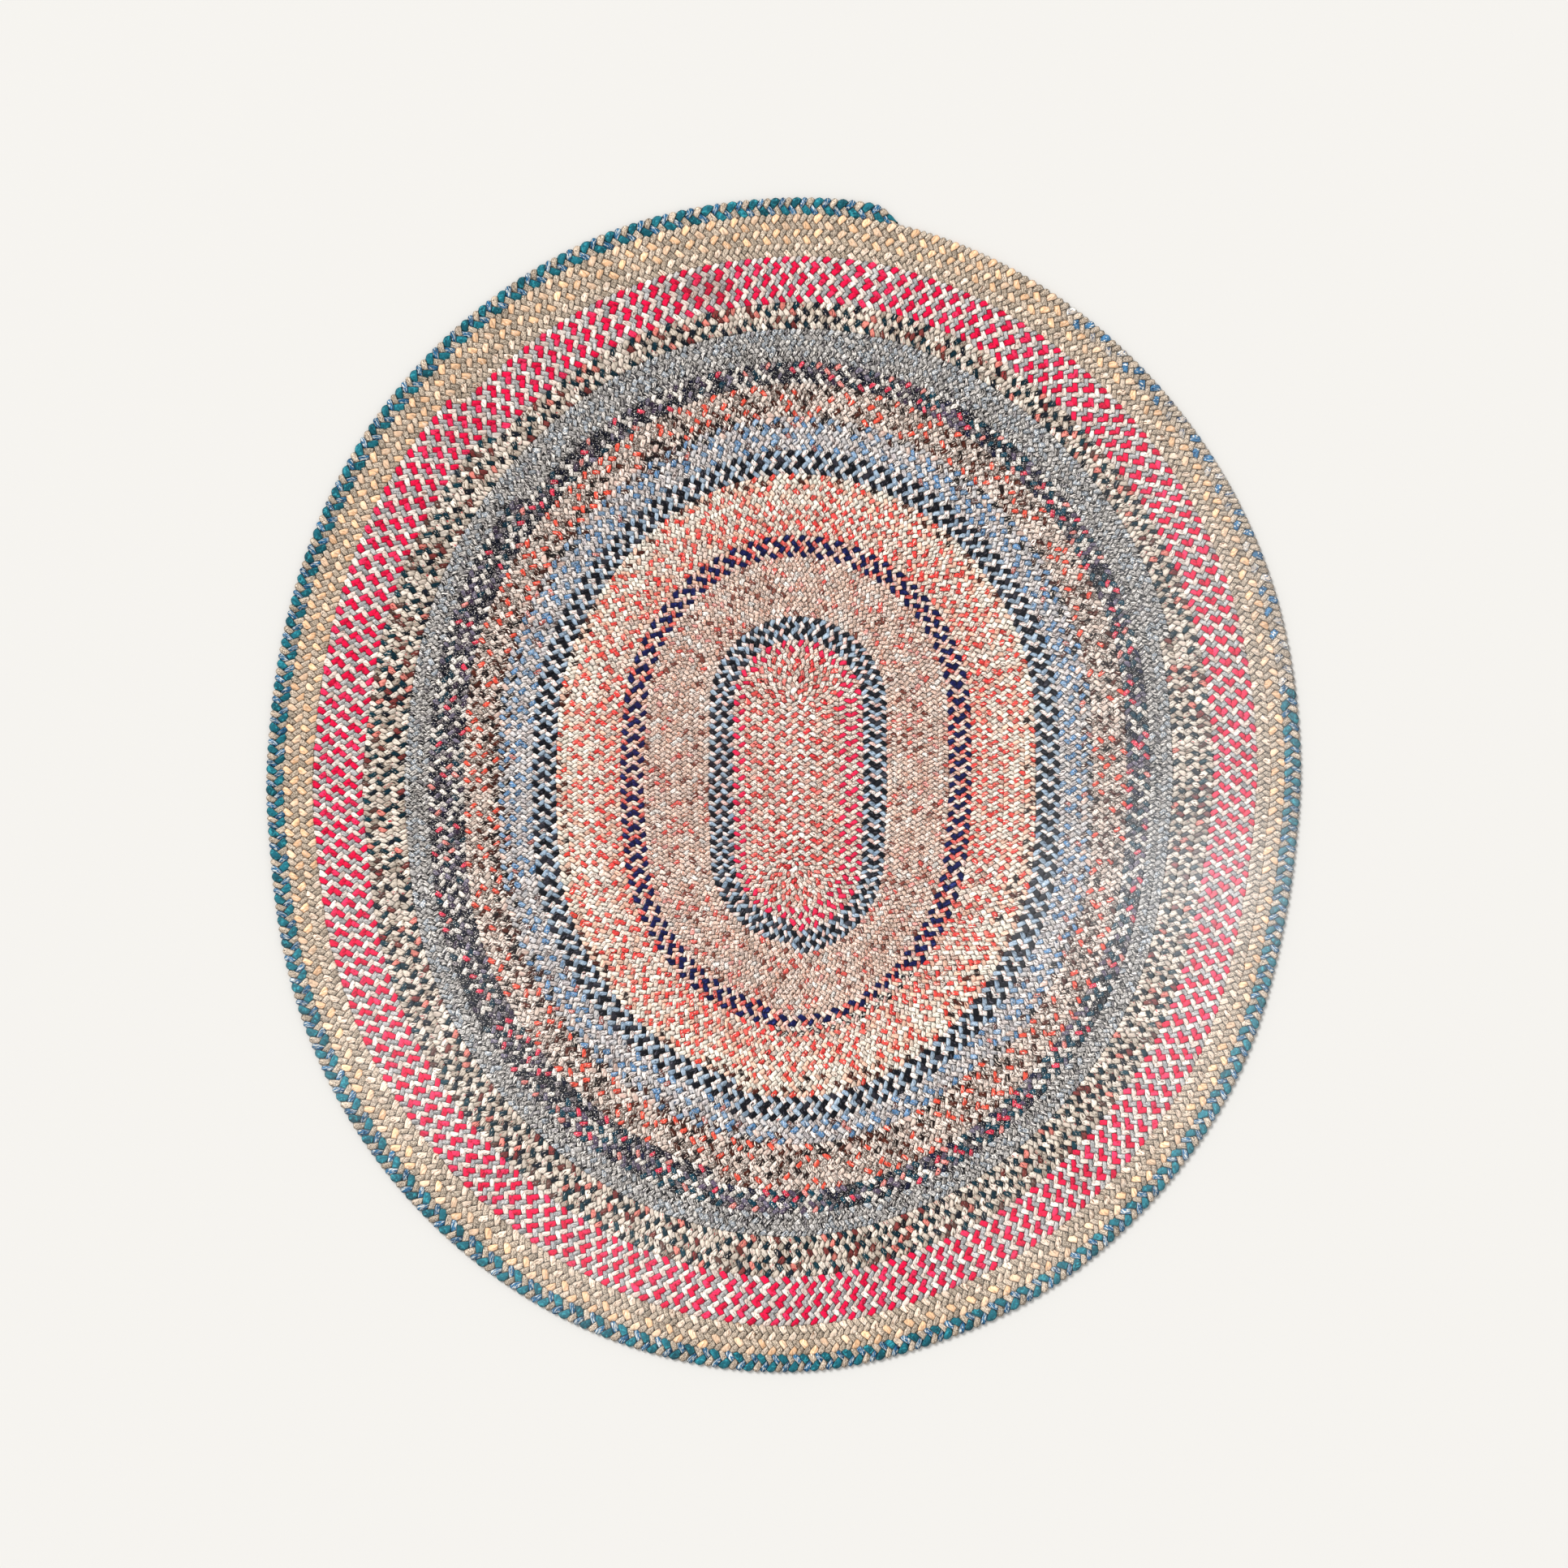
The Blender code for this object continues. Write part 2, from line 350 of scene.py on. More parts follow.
def place(loop, side, height):
    """Points of the braid: loops along it, and side from -1 at the row's inner edge to 1 at its outer edge.
    The braid grows narrower and flatter at its rounded start and at its tail."""
    turn = turn_of(loop)
    into_start = np.clip((START_LOOPS - loop) / START_ROUNDING, 0.0, 1.0) * START_ANGLE
    start_width = np.cos(into_start)
    into_tail = np.clip(1.0 - (LAST_LOOP - loop) / TAIL_ROUNDING, 0.0, 1.0)
    tail_width = 1.0 - (1.0 - TAIL_WIDTH) * into_tail**2
    side = (side * start_width + 1.0) * tail_width - 1.0
    x, y = coil_points(turn, turn + side / 2)
    y = y + np.sin(into_start) * BANDS[0].row_width / 2
    kept = END_HEIGHT + (1.0 - END_HEIGHT) * np.minimum(start_width, tail_width)
    height = EDGE_HEIGHT + (height - EDGE_HEIGHT) * kept
    return np.stack([x, y, height], axis=-1)


class Unevenness:
    """Drawn once for the whole braid, so that neighbouring pieces meet exactly."""

    def __init__(self):
        draw = np.random.default_rng(RANDOM_SEED)
        count = LAST_LOOP + SPARE_LOOPS
        self.side_shift = draw.uniform(-LINE_JITTER, LINE_JITTER, (2, count))
        self.lift = draw.uniform(-HEIGHT_JITTER, HEIGHT_JITTER, (2, count))
        self.pick = draw.uniform(0.0, 1.0, (2, count))
        self.tone = draw.uniform(-1.0, 1.0, (2, count))
        self.depth = draw.uniform(0.0, CLOTH_DEPTHS, (2, count))
        self.wobble = draw.uniform(-WOBBLE, WOBBLE, WOBBLE_POINTS * count)


UNEVEN = Unevenness()


def strand_at(half, number):
    """Which of the three strands each loop of a half belongs to."""
    return (number - half) % STRANDS


def strand_rows(table, number):
    """The three strands' values in the table's row for each loop."""
    starts = [row.first_turn for row in table]
    values = np.array([row[1:] for row in table])
    return values[np.searchsorted(starts, turn_of(number), side="right") - 1]


def line_shift(half, number):
    """How far the line before each loop lies from its even place, in loops: a thick strand takes more of the
    braid's length than a thin one, and no loop is quite like the next."""
    gained = np.cumsum(strand_rows(STRAND_SIZES, number) - 1.0, axis=1)
    before = np.choose(strand_at(half, number), [np.zeros(len(number)), gained[:, 0], gained[:, 1]])
    return UNEVEN.side_shift[half][number] + before


def wobble_at(turn):
    """How far the line inside a row wanders outward."""
    point = WOBBLE_POINTS * np.interp(turn, TURNS, LOOPS)
    return np.interp(point, np.arange(len(UNEVEN.wobble)), UNEVEN.wobble)


# ---- Braid meshes ----


class MeshParts:
    """Vertices and faces of one piece, gathered in blocks until its mesh is made."""

    def __init__(self):
        self.count = 0
        self.blocks = defaultdict(list)

    def keep(self, **blocks):
        for name, block in blocks.items():
            self.blocks[name].append(block)

    def joined(self, name):
        return np.concatenate(self.blocks[name])

    def add_points(self, points, openness):
        """Add vertices; openness to the light is 0 in a crease and 1 on top of a loop, and sets the painted
        crease shade. Returns their numbers.
        """
        shape = points.shape[:-1]
        numbers = np.arange(self.count, self.count + int(np.prod(shape))).reshape(shape)
        self.keep(points=points.reshape(-1, 3), openness=np.broadcast_to(openness, shape).reshape(-1))
        self.count += numbers.size
        return numbers

    def add_faces(self, corners, values, local, bake):
        """Add faces with their values (cloth, pick, tone), and each corner's place on cloth and bake map."""
        faces, size = corners.shape
        self.keep(corners=corners.reshape(-1), sizes=np.full(faces, size), values=values)
        self.keep(local=local.reshape(-1, 3), bake=bake.reshape(-1, 2))


def section_swell(side):
    """How far the row's rounded section has risen: 0 at its edges and 1 in its middle."""
    return np.clip(1.0 - np.abs(side) ** ROUNDNESS, 0.0, 1.0) ** (1.0 / ROUNDNESS)


def top_height(side):
    return EDGE_HEIGHT + (CROWN_HEIGHT - EDGE_HEIGHT) * section_swell(side)


def under_height(side):
    return EDGE_HEIGHT * (1.0 - section_swell(side))


def bake_at(tile, u, v, loops):
    """Place on the bake map, a square of tiles: one for each loop's top and underside, and for each cap."""
    across = math.ceil(math.sqrt(4 * loops + 2))
    x = (tile % across + BAKE_MARGIN + (1 - 2 * BAKE_MARGIN) * u) / across
    y = (tile // across + BAKE_MARGIN + (1 - 2 * BAKE_MARGIN) * v) / across
    return np.stack(np.broadcast_arrays(x, y), axis=-1)


def cloth_points(u, v, width, length, depth):
    """Millimetres on the strip of cloth, and the depth that its pattern is cut from."""
    x = (u - 0.5) * width
    y = v * length
    return np.stack(np.broadcast_arrays(x, y, depth), axis=-1)


# A corner of one face on every loop: its vertices, and its place from 0 to 1 across and along the loop
Corner = namedtuple("Corner", "numbers u v")


class Half:
    """One half of a stretch of braid: its top and underside loops, from the row's edge to the seam."""

    def __init__(self, parts, first, loops, half):
        number = first + np.arange(loops + 1)
        middle_turn = turn_of(number + 0.5)
        self.parts = parts
        self.loops = loops
        self.lines = np.arange(loops + 1)
        self.cells = np.arange(loops)
        self.sign = 1 if half == OUTER else -1
        self.start = first + INNER_START * half
        self.shift = line_shift(half, number)
        self.half_row = band_values(middle_turn, "row_width") / 2
        self.width = band_values(middle_turn, "period")[:-1] / STRANDS / MM
        self.length = self.half_row[:-1] * LOOP_LENGTH / MM
        self.tile = self.cells + half * 2 * loops
        number = number[:-1]
        size = strand_rows(STRAND_SIZES, number)[self.cells, strand_at(half, number)]
        self.lift = UNEVEN.lift[half][number] + THICK_LIFT * (size - 1.0)
        self.depth = UNEVEN.depth[half][number]
        pick = UNEVEN.pick[half][number]
        tone = UNEVEN.tone[half][number]
        self.values = np.stack([cloth_numbers(half, number), pick, tone], axis=-1)

    def along_edge(self, pattern):
        """A pattern of one loop's edge, repeated along the row."""
        return np.tile(pattern, self.loops + 1)[: COLUMNS * self.loops + 1]

    def edge_side(self, quarter):
        """Side of the row's edge, and how well rows nest there, which makes loops stand out."""
        turn = turn_of(self.start + quarter)
        outer_turn = turn + (1.0 if self.sign > 0 else 0.0)
        nesting = np.interp(outer_turn, TURNS, NESTING)
        scallop = self.along_edge(EDGE_SCALLOP)
        reach = BULGE * nesting * scallop + OVERLAP + self.sign * (1.0 - nesting) * wobble_at(outer_turn)
        if self.sign > 0:
            rim_reach = np.where(scallop < 0, -RIM_NOTCH, RIM_BULGE * (RIM_EVEN + RIM_SWING * scallop))
            reach = np.where(turn > LAST_TURN - 1.0, rim_reach, reach)
        half_row = np.repeat(self.half_row, COLUMNS)[: len(quarter)]
        return self.sign * (1.0 + reach / half_row), nesting

    def add_edge(self):
        """Vertices along the row's edge, which the top and the underside share."""
        quarter = np.arange(COLUMNS * self.loops + 1) / COLUMNS
        loop = self.start + quarter + np.interp(quarter, self.lines, self.shift)
        side, nesting = self.edge_side(quarter)
        openness = self.along_edge(EDGE_OPEN)
        openness = np.where(openness > 0.0, openness + LOOSE_OPEN * (1.0 - nesting), 0.0)
        laced = np.logical_or(self.sign < 0, turn_of(loop) < LAST_TURN - 1.0)
        height = self.along_edge(EDGE_LIFT) + EDGE_HEIGHT + INNER_LIFT * laced
        return self.parts.add_points(place(loop, side, height), openness)

    def between(self, step, cells, columns):
        """Loop and side of points at a step from the edge (0) to the seam (1)."""
        shift = self.shift[cells[:, None] + (columns[None, :] >= COLUMNS // 2)]
        from_loop = self.start + cells[:, None] + COLUMN_PLACES[columns][None, :] + shift
        to_loop = self.start + cells[:, None] - LEAN + SEAM_PLACES[columns][None, :] + shift * SEAM_SHIFT
        to_side = SEAM_SIDES[columns] * SEAM_REACH * self.sign
        side = self.sign + (to_side - self.sign) * step
        loop = from_loop + (to_loop - from_loop) * step**LEAN_POWER
        return loop, np.broadcast_to(side[None, :], loop.shape)

    def add_line(self, step):
        """Vertices in the creases of the top, at one step."""
        loop, side = self.between(step, self.lines, np.array([0]))
        height = top_height(side) - CREASE_DEPTH * (CREASE_AT_EDGE + CREASE_GAIN * step)
        return self.parts.add_points(place(loop, side, height), 0.0)[:, 0]

    def add_crown(self, step):
        """Vertices over each loop between its creases, at one step."""
        loop, side = self.between(step, self.cells, INNER_COLUMNS)
        openness = ACROSS_OPEN[INNER_COLUMNS]
        dip = CREASE_DEPTH * (1.0 - openness) + SEAM_DIP * step**2
        height = top_height(side) - dip + self.lift[:, None] * np.sin(math.pi * step)
        return self.parts.add_points(place(loop, side, height), openness)

    def add_faces(self, corners, tile):
        """One face on every loop."""
        if self.sign < 0:
            corners = corners[::-1]
        numbers = np.stack([corner.numbers for corner in corners], axis=-1)
        u = np.array([corner.u for corner in corners])[None, :]
        v = np.array([corner.v for corner in corners])[None, :]
        local = cloth_points(u, v, self.width[:, None], self.length[:, None], self.depth[:, None])
        self.parts.add_faces(numbers, self.values, local, bake_at(tile[:, None], u, v, self.loops))

    def add_top(self, edge, seam, rows):
        """The loops' tops. Returns the vertices of their creases."""
        steps = ROW_STEPS[rows]
        creases = [edge[::COLUMNS]]
        grid = np.empty((self.loops, rows + 1, COLUMNS + 1), int)
        for column in range(COLUMNS + 1):
            grid[:, 0, column] = edge[self.cells * COLUMNS + column]
            grid[:, rows, column] = seam[self.cells * COLUMNS + column]
        for row in range(1, rows):
            line = self.add_line(steps[row])
            grid[:, row, 0] = line[:-1]
            grid[:, row, COLUMNS] = line[1:]
            grid[:, row, 1:COLUMNS] = self.add_crown(steps[row])
            creases.append(line)
        creases.append(seam[::COLUMNS][: self.loops + 1])
        for row in range(rows):
            for column in range(COLUMNS):
                around = ((row, column), (row + 1, column), (row + 1, column + 1), (row, column + 1))
                corners = [Corner(grid[:, r, c], COLUMN_PLACES[c], steps[r]) for r, c in around]
                self.add_faces(corners, self.tile)
        return creases

    def add_underside(self, edge, seam):
        """The loops' undersides, with half as many columns. Returns the vertices of their creases."""
        loop, side = self.between(UNDER_LINE_STEP, self.lines, np.array([0]))
        height = under_height(side) + UNDER_CREASE
        line = self.parts.add_points(place(loop, side, height), 0.0)[:, 0]
        loop, side = self.between(UNDER_MIDDLE_STEP, self.cells, np.array([COLUMNS // 2]))
        middle = self.parts.add_points(place(loop, side, np.zeros_like(loop)), 1.0)[:, 0]
        corners = {
            "a": Corner(line[:-1], 0.0, UNDER_LINE_STEP),
            "b": Corner(line[1:], 1.0, UNDER_LINE_STEP),
            "m": Corner(middle, 0.5, UNDER_MIDDLE_STEP),
            "s0": Corner(seam[self.cells * 2], 0.0, UNDER_CORNER_STEP),
            "s1": Corner(seam[self.cells * 2 + 1], 0.5, 1.0),
            "s2": Corner(seam[self.cells * 2 + 2], 1.0, UNDER_CORNER_STEP),
        }
        for column, u in enumerate(COLUMN_PLACES):
            corners[f"e{column}"] = Corner(edge[self.cells * COLUMNS + column], u, 0.0)
        for face in UNDER_FACES:
            self.add_faces([corners[name] for name in face.split()], self.tile + self.loops)
        return line

    def build(self, rows, seam, under_seam):
        edge = self.add_edge()
        creases = self.add_top(edge, seam, rows)
        return creases, self.add_underside(edge, under_seam)


def seam_shift(step, first):
    """The zigzag's corners move with the lines that meet them: the outer lines at its outer corners and the
    inner lines at its inner corners; between corners it runs half way."""
    number = first + step // COLUMNS
    outer = line_shift(OUTER, number)
    inner = line_shift(INNER, number)
    last_inner = line_shift(INNER, np.maximum(number - 1, 0))
    at = step % COLUMNS
    shifts = [outer, (outer + inner) / 2, inner]
    return np.select([at == 1, at == 2, at == 3], shifts, (last_inner + outer) / 2)


def add_seam(parts, first, loops):
    """Vertices of the zigzag along the braid's middle, and of its corners underneath."""
    step = np.arange(1, COLUMNS * loops + COLUMNS)
    loop = first - LEAN + step / COLUMNS + SEAM_SHIFT * seam_shift(step, first)
    side = ZIGZAG[step % COLUMNS] * SEAM_REACH
    height = np.full(len(step), CROWN_HEIGHT - SEAM_DEPTH)
    seam = parts.add_points(place(loop, side, height), 0.0)
    corner = step % 2 == 1
    height = np.full(int(corner.sum()), UNDER_CREASE)
    return seam, parts.add_points(place(loop[corner], side[corner], height), 0.0)


def add_cap(parts, ring, values, tile, loops):
    """Close one end of a piece; it is hidden against the next piece, or small at the braid's own ends."""
    turn = np.arange(len(ring)) / len(ring) * 2 * math.pi
    u = 0.5 + 0.5 * np.cos(turn)
    v = 0.5 + 0.5 * np.sin(turn)
    local = cloth_points(u, v, CAP_SIZE, CAP_SIZE, 0.0)
    parts.add_faces(np.array(ring)[None, :], values[None, :], local, bake_at(np.array(tile), u, v, loops))


def build_braid(name, first, last, rows):
    """A closed stretch of braid, from one loop number to another."""
    loops = last - first
    parts = MeshParts()
    seam, under_seam = add_seam(parts, first, loops)
    outer, outer_under = Half(parts, first, loops, OUTER).build(rows, seam, under_seam)
    inner, inner_under = Half(parts, first, loops, INNER).build(rows, seam[2:], under_seam[1:])
    for end, tile in ((0, 4 * loops), (loops, 4 * loops + 1)):
        ring = [line[end] for line in outer] + [seam[COLUMNS * end + 1]]
        ring += [line[end] for line in inner[::-1]]
        ring += [inner_under[end], under_seam[2 * end + 1], under_seam[2 * end], outer_under[end]]
        if end == 0:
            ring.reverse()
        cloth = cloth_numbers(OUTER, np.array([first + max(end - 1, 0)]))[0]
        add_cap(parts, ring, np.array([cloth, 0.5, 0.0]), tile, loops)
    return write_mesh(name, parts)


def add_values(mesh, name, domain, values):
    """A number for each point or face of the mesh."""
    mesh.attributes.new(name, "FLOAT", domain).data.foreach_set("value", values.astype(np.float32))


def new_mesh(name, parts):
    """A smooth mesh of the piece's faces."""
    points = parts.joined("points")
    corners = parts.joined("corners")
    sizes = parts.joined("sizes")
    mesh = bpy.data.meshes.new(name)
    mesh.vertices.add(len(points))
    mesh.vertices.foreach_set("co", points.astype(np.float32).ravel())
    mesh.loops.add(len(corners))
    mesh.loops.foreach_set("vertex_index", corners.astype(np.int32))
    mesh.polygons.add(len(sizes))
    starts = np.concatenate([[0], np.cumsum(sizes)[:-1]])
    mesh.polygons.foreach_set("loop_start", starts.astype(np.int32))
    mesh.update(calc_edges=True)
    mesh.shade_smooth()
    return mesh


def sharpen_creases(mesh, openness):
    """Edges between two points that are closed to the light are sharp."""
    ends = np.empty(len(mesh.edges) * 2, np.int32)
    mesh.edges.foreach_get("vertices", ends)
    sharp = (openness[ends.reshape(-1, 2)] == 0.0).all(axis=1)
    mesh.attributes.new("sharp_edge", "BOOLEAN", "EDGE").data.foreach_set("value", sharp)


def write_mesh(name, parts):
    """Make the piece, with the values that its cloths read and its bake map."""
    mesh = new_mesh(name, parts)
    points = parts.joined("points")
    values = parts.joined("values")
    openness = parts.joined("openness").astype(np.float32)
    # paler and darker patches of the top
    faded = spots_at(BRIGHTNESS_PATCHES, points)
    add_values(mesh, "open_share", "POINT", openness)
    add_values(mesh, "faded", "POINT", faded)
    # painted light: a pale wash of light over parts of the top
    add_values(mesh, "haze", "POINT", spots_at(PAINTED_LIGHT_WASHES, points) + faded * np.float32(PATCH_LIGHT_WASH))
    add_values(mesh, "stain", "POINT", spots_at(STAINS, points))
    add_values(mesh, "pick", "FACE", values[:, 1])
    add_values(mesh, "tone", "FACE", values[:, 2])
    local = parts.joined("local").astype(np.float32)
    mesh.attributes.new("on_cloth", "FLOAT_VECTOR", "CORNER").data.foreach_set("vector", local.ravel())
    bake = mesh.uv_layers.new(name="OFBake")
    bake.data.foreach_set("uv", parts.joined("bake").astype(np.float32).ravel())
    sharpen_creases(mesh, openness)

    cloths = values[:, 0].astype(int)
    used = np.unique(cloths)
    for cloth in used:
        mesh.materials.append(cloth_material(CLOTH_NAMES[cloth]))
    mesh.polygons.foreach_set("material_index", np.searchsorted(used, cloths).astype(np.int32))
    piece = bpy.data.objects.new(name, mesh)
    bpy.context.scene.collection.objects.link(piece)
    return piece


# ---- Cloths ----

# Soft patches of the top, with their middle and reach in millimetres: a painted pale wash of light, stains,
# and places paler than the rest, or darker where the amount is below zero
Spot = namedtuple("Spot", "x y reach_x reach_y amount")
# painted light: pale washes of light over the top
PAINTED_LIGHT_WASHES = (
    Spot(650, -150, 190, 120, 0.15),
    Spot(690, 100, 230, 480, 0.09),
)
STAINS = (
    Spot(-117, 765, 46, 30, 0.38),
    Spot(-165, 20, 110, 110, 0.10),
)
# patches paler than the rest, or darker where the amount is below zero
BRIGHTNESS_PATCHES = (
    Spot(650, -440, 160, 260, 0.14),
    Spot(400, -230, 80, 130, 0.1),
    Spot(400, -740, 130, 110, 0.09),
    Spot(-300, -760, 170, 120, 0.12),
    Spot(-610, -420, 230, 210, 0.13),
    Spot(-380, 480, 420, 300, -0.09),
)
PATCH_LIGHT_WASH = 0.45          # of a patch's paleness, the share that is painted as a pale wash of light


def spots_at(spots, points):
    """How strong the patches are at each point of the top; they fade out over the braid's edge."""
    x, y, height = points.T
    total = np.zeros(len(points))
    for spot in spots:
        away_x = (x - spot.x * MM) / (spot.reach_x * MM)
        away_y = (y - spot.y * MM) / (spot.reach_y * MM)
        total += spot.amount * np.exp(-(away_x**2 + away_y**2))
    return (total * np.clip(height / EDGE_HEIGHT, 0.0, 1.0)).astype(np.float32)


# A cloth is a palette, with the share of its loops that take each colour, and marks over it, with the share
# that they cover. A noise has spots of a size in millimetres, across and along the strip.
Noise = namedtuple("Noise", "across along detail")
Mark = namedtuple("Mark", "noise colour cover")
THREADS = Noise(0.7, 0.7, 2.0)
FOLDS = Noise(1.9, 11.0, 1.0)
fleck = partial(Mark, Noise(1.3, 2.3, 1.0))
stripe = partial(Mark, Noise(1.6, 7.5, 1.0))
blotch = partial(Mark, Noise(3.8, 4.2, 1.0))
CLOTHS = {
    "marled": (
        {"fde7d8": 0.45, "f8d2be": 0.4, "e2ac95": 0.15},
        fleck("fff8ee", 0.34), fleck("5a3826", 0.22)),
    "white_marled": ({"fffaf2": 1.0}, stripe("7a4a36", 0.12), fleck("f3cdbb", 0.2)),
    "coral_print": (
        {"f75f5a": 0.52, "fa857c": 0.22, "ec4044": 0.2, "fbc6b4": 0.06},
        stripe("4a1f16", 0.18), blotch("fbd4c0", 0.12)),
    "crimson_print": ({"f02f56": 1.0}, blotch("d02248", 0.2)),
    "charcoal": ({"191b22": 0.8, "34353d": 0.2}, stripe("5c5a61", 0.12)),
    "slate": ({"a3b6c7": 0.5, "91a6ba": 0.5}, fleck("dfe4e8", 0.1), stripe("5d6d82", 0.12)),
    "white_print": ({"fff6ee": 0.7, "fbd9ce": 0.3}, fleck("43322e", 0.1), fleck("e8665e", 0.14)),
    "tweed_beige": (
        {"fbd2bd": 0.4, "fee0d0": 0.35, "e0a58d": 0.25},
        fleck("fff4ea", 0.3), fleck("573626", 0.24)),
    "beige_mixed": (
        {"ebccb9": 0.4, "8a4a3f": 0.16, "ee6058": 0.14, "f6a59c": 0.12, "fff8f0": 0.18},
        fleck("5c4033", 0.24), stripe("fff0e4", 0.16)),
    "navy": ({"141846": 1.0}, stripe("303a78", 0.14)),
    "black_white": ({"f0e8dc": 1.0}, blotch("16171f", 0.5)),
    "pink_print": ({"ef665e": 0.45, "f8d6ca": 0.55}, stripe("3e2224", 0.18), blotch("f8a79c", 0.2)),
    "cream_print": ({"ffeedc": 0.5, "fccdb4": 0.5}, stripe("6b3021", 0.12)),
    "cream": ({"fff6e6": 0.7, "fee4cf": 0.3}, stripe("8a4a30", 0.1)),
    "coral_cream": (
        {"f94a46": 0.58, "f76c60": 0.26, "fee2d2": 0.16},
        stripe("5b2820", 0.11), stripe("ffe6d4", 0.13)),
    "coral_light": (
        {"f9524a": 0.52, "f87a6c": 0.24, "fff0e2": 0.24},
        stripe("5b2820", 0.12), stripe("fff0e0", 0.14)),
    "cream_dark": (
        {"fff6e4": 0.22, "50241b": 0.22, "221819": 0.18, "f54a3e": 0.38},
        stripe("6b4436", 0.14), stripe("fff0e0", 0.12)),
    "black": ({"111219": 0.85, "2b2a32": 0.15}, stripe("4f4d56", 0.12)),
    "white_striped": ({"fffaf2": 1.0}, stripe("1c1b20", 0.16), fleck("ea8a7c", 0.14)),
    "denim": (
        {"5d8bb8": 0.4, "7f9fbf": 0.3, "cfc9c7": 0.3},
        fleck("dedcda", 0.2), stripe("3b4a60", 0.16)),
    "white_thin": ({"fcf3ec": 0.6, "dfd2cc": 0.4}, stripe("5a4946", 0.3)),
    "light_grey": (
        {"e6d9d3": 0.46, "beb3b3": 0.42, "c9655a": 0.06, "6b4038": 0.06},
        stripe("4b4850", 0.24), fleck("fffaf4", 0.22)),
    "brown_striped": ({"40211a": 0.45, "1e1a1b": 0.27, "dabaac": 0.28}, stripe("fff0e2", 0.25)),
    "grey_tweed": ({"ead2c4": 0.5, "967e72": 0.5}, fleck("241815", 0.28), fleck("fff6ea", 0.26)),
    "coral": (
        {"fb5a45": 0.38, "54271b": 0.26, "1f1617": 0.16, "f4dccc": 0.2},
        stripe("3f1a14", 0.14), stripe("fbe6d6", 0.14)),
    "brown_white": ({"fff0e4": 1.0}, stripe("4a281e", 0.34), fleck("c3a08f", 0.16)),
    "navy_spotted": ({"0c0e22": 0.62, "0c3040": 0.2, "3a2c40": 0.18}, fleck("fff8ee", 0.11)),
    "teal_spotted": ({"0b4052": 0.55, "171a36": 0.22, "5e5066": 0.23}, fleck("f6ede2", 0.09)),
    "print_mixed": (
        {"f23c5a": 0.17, "f58f86": 0.1, "fff4e8": 0.34, "756c80": 0.2, "0e1022": 0.19},
        fleck("fff6ec", 0.12), fleck("0e0c16", 0.2)),
    "grey_spotted": (
        {"f6ebe2": 0.5, "7d7377": 0.34, "1a1926": 0.16},
        fleck("fff6ec", 0.18), fleck("0e0e16", 0.29)),
    "grey_blue": ({"9ba2aa": 0.5, "b0aba8": 0.5}, stripe("14161c", 0.22), fleck("fff8ee", 0.22)),
    "black_marled": ({"b4aca7": 0.6, "928c8e": 0.4}, stripe("fff8ee", 0.34), stripe("0c0b10", 0.36)),
    "mixed_dark": (
        {"062a36": 0.46, "0f1622": 0.22, "743630": 0.12, "e6d4c4": 0.2},
        stripe("efe0d0", 0.06)),
    "teal_dark": ({"0c3a46": 0.55, "1b2732": 0.2, "5f4038": 0.25}, stripe("c4bfb6", 0.1)),
    "red_striped": (
        {"f0e2d2": 0.44, "e88a7c": 0.12, "7e3a36": 0.1, "bfb09f": 0.34},
        stripe("c93640", 0.08), stripe("33211e", 0.16)),
    "cream_plain": ({"f6e8d8": 0.5, "dccdbc": 0.5}, stripe("6f5a4a", 0.16)),
    "crimson": ({"f41147": 0.7, "fb3462": 0.3}, blotch("d00f3c", 0.2)),
    "off_white": ({"f9ebe0": 0.5, "eed9cc": 0.5}, stripe("8b7064", 0.1)),
    "grey": ({"c2c0be": 0.5, "aaaaaa": 0.5}, fleck("63605f", 0.14), fleck("ece4de", 0.14)),
    "peach": ({"ffcc9f": 0.65, "fbd3b0": 0.35}, stripe("ffe2c6", 0.18)),
    "pale_peach": ({"f6dcc4": 1.0}, stripe("8a6a52", 0.22), stripe("fff2e2", 0.16)),
    "grey_beige": ({"cdb8a3": 0.5, "b8a48f": 0.5}, fleck("5a5046", 0.26), fleck("efdfca", 0.22)),
    "teal": ({"1f6d7c": 0.7, "185c6a": 0.3}, blotch("35929e", 0.2)),
    "plaid_blue": ({"2c6a92": 1.0}, blotch("15365a", 0.24), stripe("cfd3d0", 0.3)),
    "plaid_light": ({"4a7fa8": 0.5, "c6b9ac": 0.5}, stripe("16456e", 0.25), blotch("f2f0e8", 0.2)),
}
CLOTH_NAMES = list(CLOTHS)

